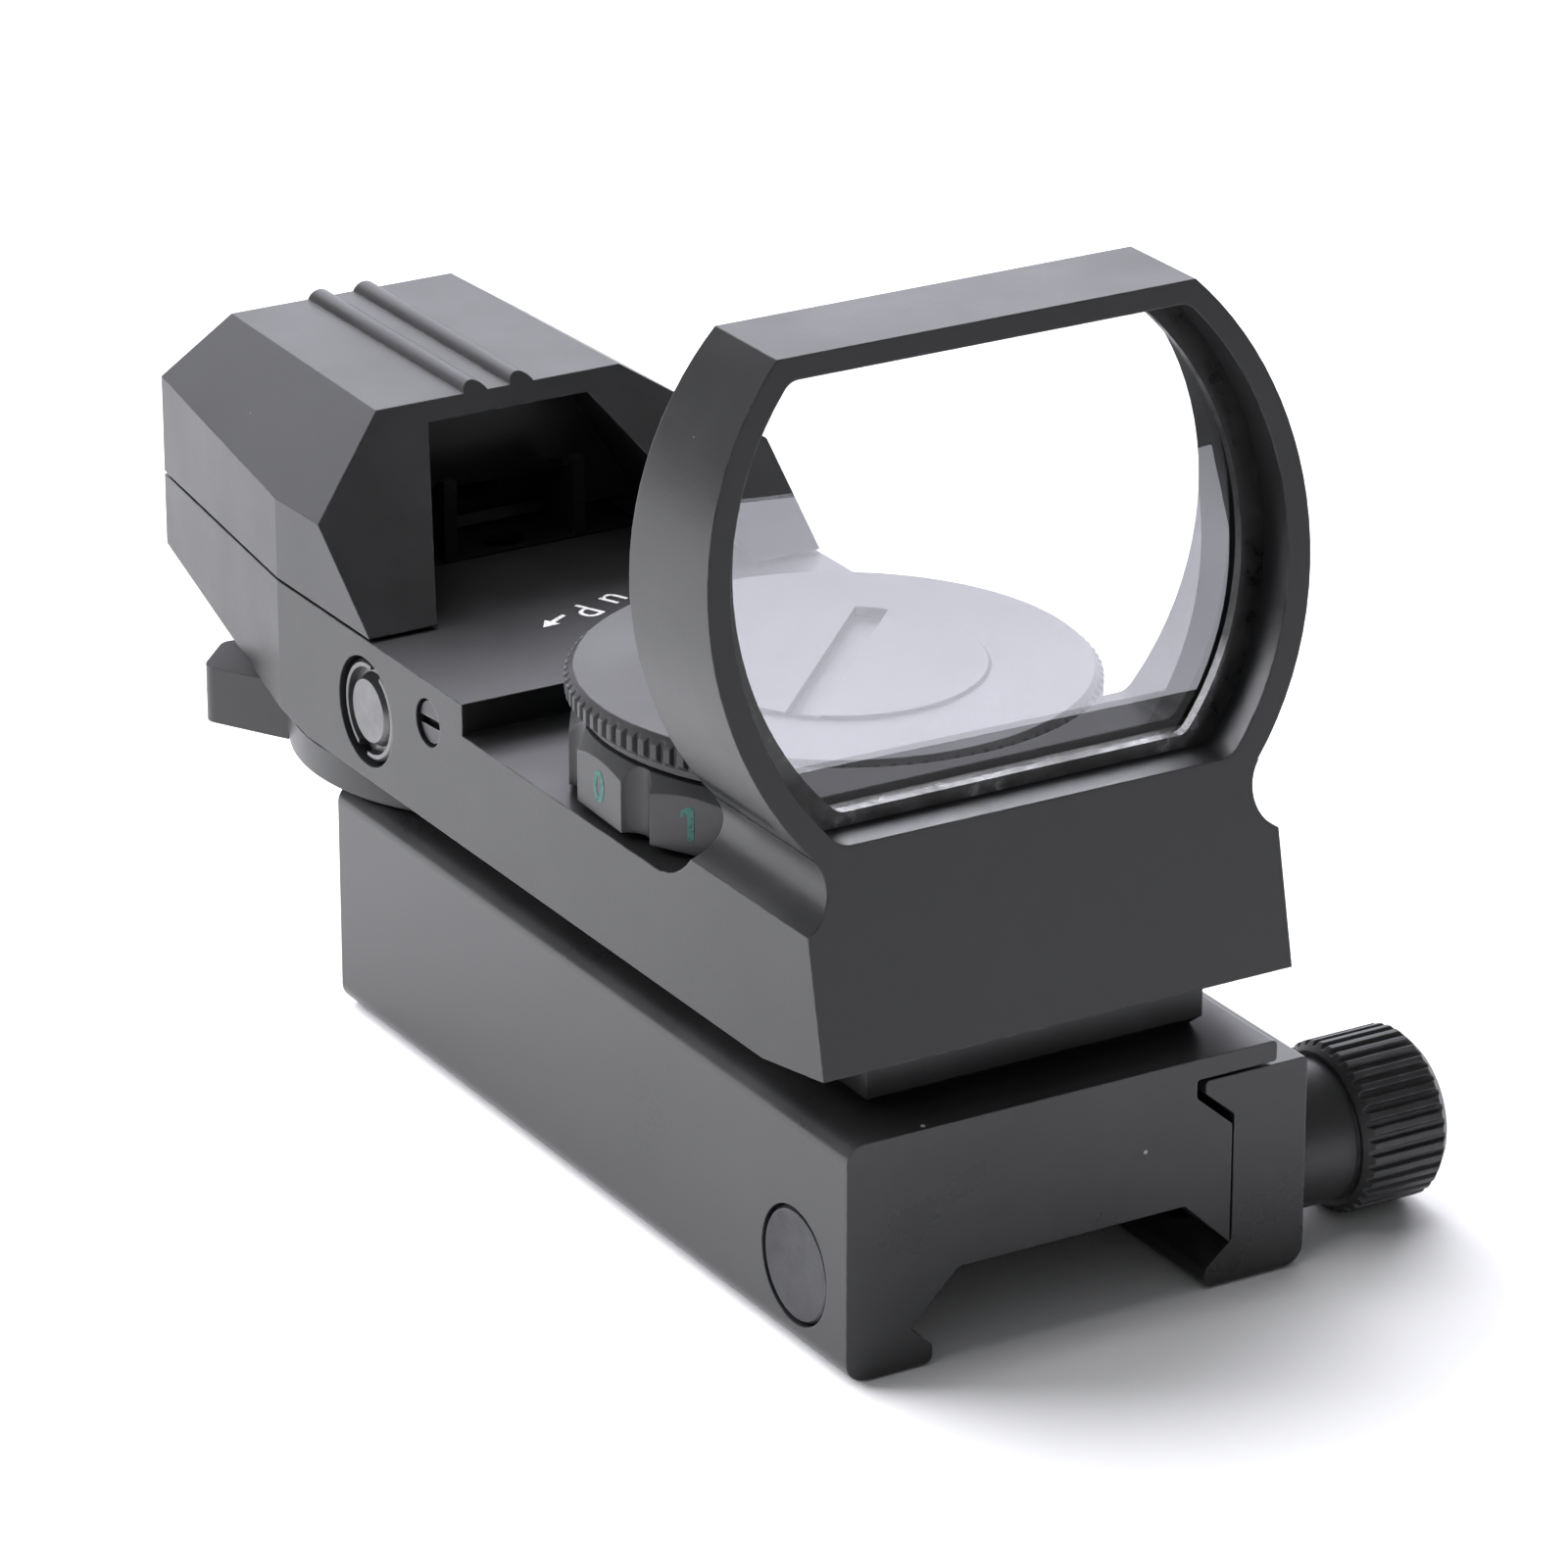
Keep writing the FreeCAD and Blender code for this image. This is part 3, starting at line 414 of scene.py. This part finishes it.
def make_finishes():
    """One material for each finish in the record."""
    dial = middle("coin_cell")
    return {
        "black_anodised": anodised("black_anodised", (0.009, 0.009, 0.0092),
                                   (0.018, 0.018, 0.0184), (0.33, 0.43), lines=0.5,
                                   dull_walls=True),
        "hood_anodised": anodised("hood_anodised", (0.017, 0.017, 0.0175),
                                  (0.031, 0.031, 0.032), (0.36, 0.46)),
        "mount_anodised": anodised("mount_anodised", (0.016, 0.016, 0.0165),
                                   (0.030, 0.030, 0.031), (0.26, 0.36), depth=0.006, lines=0.8),
        "dial_anodised": anodised("dial_anodised", (0.018, 0.018, 0.0185),
                                  (0.034, 0.034, 0.035), (0.36, 0.48)),
        "knurled_black": anodised("knurled_black", (0.016, 0.016, 0.0165),
                                  (0.030, 0.030, 0.031), (0.38, 0.5), wear=0.5,
                                  centre=(dial.x, dial.y, 0)),
        # inner_black: matte black for the parts inside the hood. It is made darker, rougher and
        # less glossy than the outer anodising, so part of its darkness is painted shade for the
        # dim inside of the hood.
        "inner_black": anodised("inner_black", (0.006, 0.006, 0.006), (0.012, 0.012, 0.012),
                                (0.7, 0.85), wear=0.0, dust=0.1, level=0.12),
        "dark_screw": bare_metal("dark_screw", (0.05, 0.05, 0.052), (0.1, 0.1, 0.102),
                                 (0.3, 0.45)),
        "dark_bolt": bare_metal("dark_bolt", (0.055, 0.055, 0.06), (0.13, 0.13, 0.135),
                                (0.38, 0.55), depth=0.03, wear=0.3),
        "screw_silver": bare_metal("screw_silver", (0.14, 0.14, 0.14), (0.24, 0.24, 0.24),
                                   (0.38, 0.5), wear=0.15),
        "bright_steel": bare_metal("bright_steel", (0.45, 0.45, 0.45), (0.62, 0.62, 0.61),
                                   (0.15, 0.3)),
        "spring_steel": bare_metal("spring_steel", (0.38, 0.38, 0.37), (0.55, 0.54, 0.52),
                                   (0.2, 0.35)),
        "cell_can": bare_metal("cell_can", (0.5, 0.5, 0.49), (0.65, 0.65, 0.63), (0.15, 0.3),
                               centre=(dial.x, dial.y, 0)),
        "contact_brass": bare_metal("contact_brass", (0.5, 0.34, 0.11), (0.72, 0.52, 0.2),
                                    (0.2, 0.4)),
        "coated_glass": coated_glass(),
        "gasket_black": moulded("gasket_black", (0.004, 0.004, 0.004), (0.016, 0.014, 0.013),
                                (0.22, 0.6), scale=1500.0, coat=0.1),
        "seal_rubber": moulded("seal_rubber", (0.012, 0.012, 0.012), (0.025, 0.025, 0.025),
                               (0.5, 0.65)),
        "circuit_board": moulded("circuit_board", (0.008, 0.06, 0.022), (0.02, 0.11, 0.045),
                                 (0.25, 0.4)),
        "led_red": moulded("led_red", (0.35, 0.015, 0.01), (0.55, 0.03, 0.02), (0.08, 0.15)),
        "reticle_film": moulded("reticle_film", (0.004, 0.004, 0.004), (0.01, 0.01, 0.01),
                                (0.3, 0.45)),
        "front_mirror": front_mirror(),
    }


FINISHES = make_finishes()
GREEN_INK = printed_ink("green_ink", (0.003, 0.05, 0.04), (0.006, 0.1, 0.078))
WHITE_INK = printed_ink("white_ink", (0.35, 0.35, 0.34), (0.62, 0.62, 0.62))


def dress_cad_nodes():
    slots = {part["node"]: part["material_slot"] for part in frame["record"]["subparts"]}
    for name, node in frame["nodes"].items():
        for holder in node.material_slots:
            holder.material = FINISHES[slots[name]]


# ---------------------------------------------------------------- pieces

def baked(shape, name):
    """Turns an edit mesh into a mesh and frees it."""
    mesh = bpy.data.meshes.new(name)
    shape.to_mesh(mesh)
    shape.free()
    return mesh


def add_object(name, data):
    thing = bpy.data.objects.new(name, data)
    bpy.context.scene.collection.objects.link(thing)
    return thing


def finish_piece(piece, body, material):
    piece.data.materials.clear()
    piece.data.materials.append(material)
    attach(piece, body)


def lettering(name, words, size, depth, heavier=0.0):
    """Extruded characters as a mesh, centred on their own origin, facing +Z."""
    curve = bpy.data.curves.new(name, "FONT")
    curve.body = words
    curve.size = size
    curve.extrude = depth
    curve.offset = heavier
    curve.align_x = "CENTER"
    curve.align_y = "CENTER"
    curve.resolution_u = 6
    writer = add_object(name + "_curve", curve)
    bpy.context.view_layer.update()
    mesh = bpy.data.meshes.new_from_object(writer.evaluated_get(
        bpy.context.evaluated_depsgraph_get()))
    bpy.data.objects.remove(writer)
    low = Vector([min(v.co[i] for v in mesh.vertices) for i in range(3)])
    high = Vector([max(v.co[i] for v in mesh.vertices) for i in range(3)])
    shift = (low + high) / 2
    shift.z = 0
    mesh.transform(Matrix.Translation(-shift))
    mesh.name = name
    return mesh


def settle(mesh, right, up, face, centre):
    """Turns a mesh drawn in the XY plane to lie on a face of the object."""
    turn = Matrix((right, up, face)).transposed().to_4x4()
    mesh.transform(Matrix.Translation(centre) @ turn)


def merge(name, meshes):
    joined = bmesh.new()
    for mesh in meshes:
        joined.from_mesh(mesh)
    return add_object(name, baked(joined, name))


def numeral_one(height, depth):
    """A one with a flag at its head."""
    corners = ((-0.11, -0.5), (0.11, -0.5), (0.11, 0.5), (-0.09, 0.5), (-0.34, 0.33),
               (-0.34, 0.14), (-0.11, 0.27))
    shape = bmesh.new()
    back = shape.faces.new([shape.verts.new((x * height, y * height, -depth))
                            for x, y in corners])
    grown = bmesh.ops.extrude_face_region(shape, geom=[back])
    front = [v for v in grown["geom"] if isinstance(v, bmesh.types.BMVert)]
    bmesh.ops.translate(shape, verts=front, vec=(0, 0, 2 * depth))
    bmesh.ops.recalc_face_normals(shape, faces=shape.faces)
    return baked(shape, "one")


def dial_numbers():
    """The brightness steps, one on each flat of the dial."""
    centre = middle("dial_ring")
    depth = 0.015 * MM
    meshes = []
    for step in range(DIAL_FLATS):
        angle = math.radians(DIAL_FIRST_FLAT + 360 / DIAL_FLATS * step)
        face = Vector((math.cos(angle), math.sin(angle), 0))
        words = str(step)
        right = Vector((-face.y, face.x, 0))
        spot = centre + face * (DIAL_APOTHEM + 0.004 * MM)
        spot.z = NUMBER_Z
        for place, letter in enumerate(words):
            if letter == "1":
                mesh = numeral_one(2.0 * MM, depth)
            else:
                mesh = lettering("number", letter, NUMBER_SIZE, depth, 0.045 * MM)
            shift = (place - (len(words) - 1) / 2) * NUMBER_PITCH
            settle(mesh, right, Vector((0, 0, 1)), face, spot + right * shift)
            meshes.append(mesh)
    piece = merge("dial_numbers", meshes)
    finish_piece(piece, "brightness_dial", GREEN_INK)


def deck_marks():
    """The word beside the elevation screw and the arrow that shows which way to turn it."""
    along = Vector((-0.905, -0.425, 0))
    side = Vector((along.y, -along.x, 0)) * -1
    meshes = []
    for letter, x, y in (("u", 0.75, 23.0), ("p", -1.75, 21.95)):
        mesh = lettering("mark", letter, 3.1 * MM, 0.012 * MM)
        settle(mesh, along, side, Vector((0, 0, 1)), Vector((x * MM, y * MM, DECK_Z)))
        meshes.append(mesh)
    meshes.append(turning_arrow())
    piece = merge("deck_marks", meshes)
    finish_piece(piece, "sight_body", WHITE_INK)


def turning_arrow():
    """Small arrow with a straight shaft and a filled head."""
    tail = Vector((-3.15, 22.05)) * MM
    tip = Vector((-5.2, 20.9)) * MM
    ahead = (tip - tail).normalized()
    across = Vector((-ahead.y, ahead.x))
    shaft_end = tip - ahead * 1.05 * MM
    outline = []
    for place, half in ((tail, 0.14), (shaft_end, 0.16), (shaft_end, 0.55), (tip, 0.0)):
        outline.append(place + across * half * MM)
    for place, half in ((shaft_end, 0.55), (shaft_end, 0.16), (tail, 0.14)):
        outline.append(place - across * half * MM)
    shape = bmesh.new()
    top = [shape.verts.new((p.x, p.y, DECK_Z + 0.012 * MM)) for p in outline]
    face = shape.faces.new(top)
    block = bmesh.ops.extrude_face_region(shape, geom=[face])
    lower = [v for v in block["geom"] if isinstance(v, bmesh.types.BMVert)]
    bmesh.ops.translate(shape, verts=lower, vec=(0, 0, -0.02 * MM))
    bmesh.ops.recalc_face_normals(shape, faces=shape.faces)
    return baked(shape, "arrow")


def lens_outline(inset, steps=180):
    """Rounded outline of the lens in X and Z, drawn in by a margin."""
    low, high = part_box("objective_lens")
    radius = high.x - inset
    points = []
    for step in range(steps):
        angle = 2 * math.pi * step / steps
        facing = Vector((math.cos(angle), math.sin(angle)))
        if facing.y > 0:
            corner, limit = LENS_UPPER_CORNER, high.z - inset - LENS_AXIS_Z
        else:
            corner, limit = LENS_LOWER_CORNER, LENS_AXIS_Z - low.z - inset
        spot = facing * (radius - corner)
        reach = limit - corner
        if abs(spot.y) > reach:
            half = math.sqrt((radius - corner) ** 2 - reach ** 2)
            spot = Vector((math.copysign(half, facing.x), math.copysign(reach, facing.y)))
        spot += facing * corner
        points.append((spot.x, LENS_AXIS_Z + spot.y))
    return points


def lens_edge_paint():
    """Thin black paint around the ground edge of the lens."""
    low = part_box("objective_lens")[0]
    thick = LENS_THICKNESS * math.sqrt(1 + LENS_SLOPE ** 2)
    margin = 0.04 * MM
    thin, wide = 0.02 * MM, 0.06 * MM
    loops = []
    shape = bmesh.new()
    for inset, depth in ((thin, margin), (thin, thick - margin),
                         (wide, thick - margin), (wide, margin)):
        loop = []
        for x, z in lens_outline(inset):
            y = low.y + LENS_SLOPE * (z - low.z) + depth
            loop.append(shape.verts.new((x, y, z)))
        loops.append(loop)
    total = len(loops[0])
    for turn in range(4):
        here, following = loops[turn], loops[(turn + 1) % 4]
        for index in range(total):
            after = (index + 1) % total
            shape.faces.new((here[index], here[after], following[after], following[index]))
    bmesh.ops.recalc_face_normals(shape, faces=shape.faces)
    piece = add_object("lens_edge_paint", baked(shape, "lens_edge_paint"))
    finish_piece(piece, "sight_body", FINISHES["gasket_black"])


# ---------------------------------------------------------------- stage

def floor_material():
    material, sheet, shader = new_material("studio_floor")
    cloud = sheet.noise(3.0, detail=2.0)
    sheet.plug(sheet.blend(cloud, (0.86, 0.86, 0.865, 1), (0.89, 0.89, 0.895, 1)),
               shader.inputs["Base Color"])
    shader.inputs["Roughness"].default_value = 0.9
    return material


def lay_floor():
    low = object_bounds()[0]
    ground = bmesh.new()
    bmesh.ops.create_grid(ground, x_segments=8, y_segments=8, size=6.0)
    floor = add_object("floor", baked(ground, "floor"))
    floor.location.z = low[2] - 0.02 * MM
    floor.data.materials.append(floor_material())


def area_light(name, place, target, width, height, power, reflected=True):
    lamp = bpy.data.lights.new(name, "AREA")
    lamp.shape = "RECTANGLE"
    lamp.size = width
    lamp.size_y = height
    lamp.energy = power
    lamp.color = (0.9, 0.9, 1.0) if reflected else (0.965, 0.965, 1.0)
    holder = add_object(name, lamp)
    holder.location = place
    aim = Vector(target) - Vector(place)
    holder.rotation_euler = aim.to_track_quat("-Z", "Y").to_euler()
    holder.visible_glossy = reflected


def light_studio():
    """Dim room, one bright sheet behind on the right, and soft light that fills the floor."""
    world = bpy.data.worlds.new("studio")
    world.use_nodes = True
    sheet = Sheet(world.node_tree)
    background = world.node_tree.nodes["Background"]
    split = sheet.add("ShaderNodeSeparateXYZ")
    sheet.plug(sheet.add("ShaderNodeTexCoord").outputs["Generated"], split.inputs[0])
    level = sheet.spread(split.outputs["Z"], 0.15, 0.75, 0.27, 0.2)
    sheet.plug(level, background.inputs["Strength"])
    background.inputs["Color"].default_value = (0.97, 0.98, 1.0, 1)
    bpy.context.scene.world = world
    area_light("back_sheet", (0.6, 1.22, 0.64), (0, 0.02, 0.02), 1.7, 0.95, 14.5)
    area_light("back_fill", (0.62, 1.25, 0.75), (0, 0.02, 0.02), 2.2, 1.3, 40, False)
    area_light("rear_left_fill", (-0.9, 1.2, 0.8), (-0.25, 0.45, 0), 1.4, 1.0, 50, False)
    area_light("ceiling_fill", (-0.1, 0.5, 1.2), (0, 0.3, 0), 1.2, 1.2, 14, False)


def card_material():
    material, sheet, shader = new_material("lit_card")
    cloud = sheet.noise(9.0, detail=2.0)
    sheet.plug(sheet.blend(cloud, (0.86, 0.87, 1.0, 1), (0.93, 0.93, 1.0, 1)),
               shader.inputs["Emission Color"])
    split = sheet.add("ShaderNodeSeparateXYZ")
    sheet.plug(sheet.place(), split.inputs[0])
    sheet.plug(sheet.spread(split.outputs["Z"], 0.018, 0.048, 7.0, 5.0),
               shader.inputs["Emission Strength"])
    shader.inputs["Base Color"].default_value = (0, 0, 0, 1)
    return material


def stand_lit_cards():
    """Two lit cards out in front, side by side, that the sloping lens reflects."""
    foot = Vector((220.9, -412.0, 0)) * MM
    along = Vector((0.869, 0.4948, 0))
    shape = bmesh.new()
    for start, end, base, start_top, end_top in ((-28, 4.6, 17.8, 50.2, 47.0),
                                                 (4.6, 32, 17.8, 43.0, 45.0)):
        corners = []
        for across, height in ((start, base), (end, base), (end, end_top), (start, start_top)):
            spot = foot + along * across * MM
            corners.append(shape.verts.new((spot.x, spot.y, height * MM)))
        shape.faces.new(corners)
    cards = add_object("lit_cards", baked(shape, "lit_cards"))
    cards.data.materials.append(card_material())
    cards.visible_camera = False
    cards.visible_diffuse = False


def set_camera():
    lens = bpy.data.cameras.new("camera")
    lens.lens = 170.9
    lens.sensor_width = 36
    lens.clip_start = 0.01
    lens.clip_end = 20
    holder = add_object("camera", lens)
    holder.location = Vector(CAMERA_PLACE) * MM
    holder.rotation_euler = (math.radians(90 - CAMERA_DIP), 0, math.radians(CAMERA_YAW))
    bpy.context.scene.camera = holder
    bpy.context.scene.view_settings.view_transform = "Standard"


dress_cad_nodes()
dial_numbers()
deck_marks()
lens_edge_paint()
lay_floor()
light_studio()
stand_lit_cards()
set_camera()
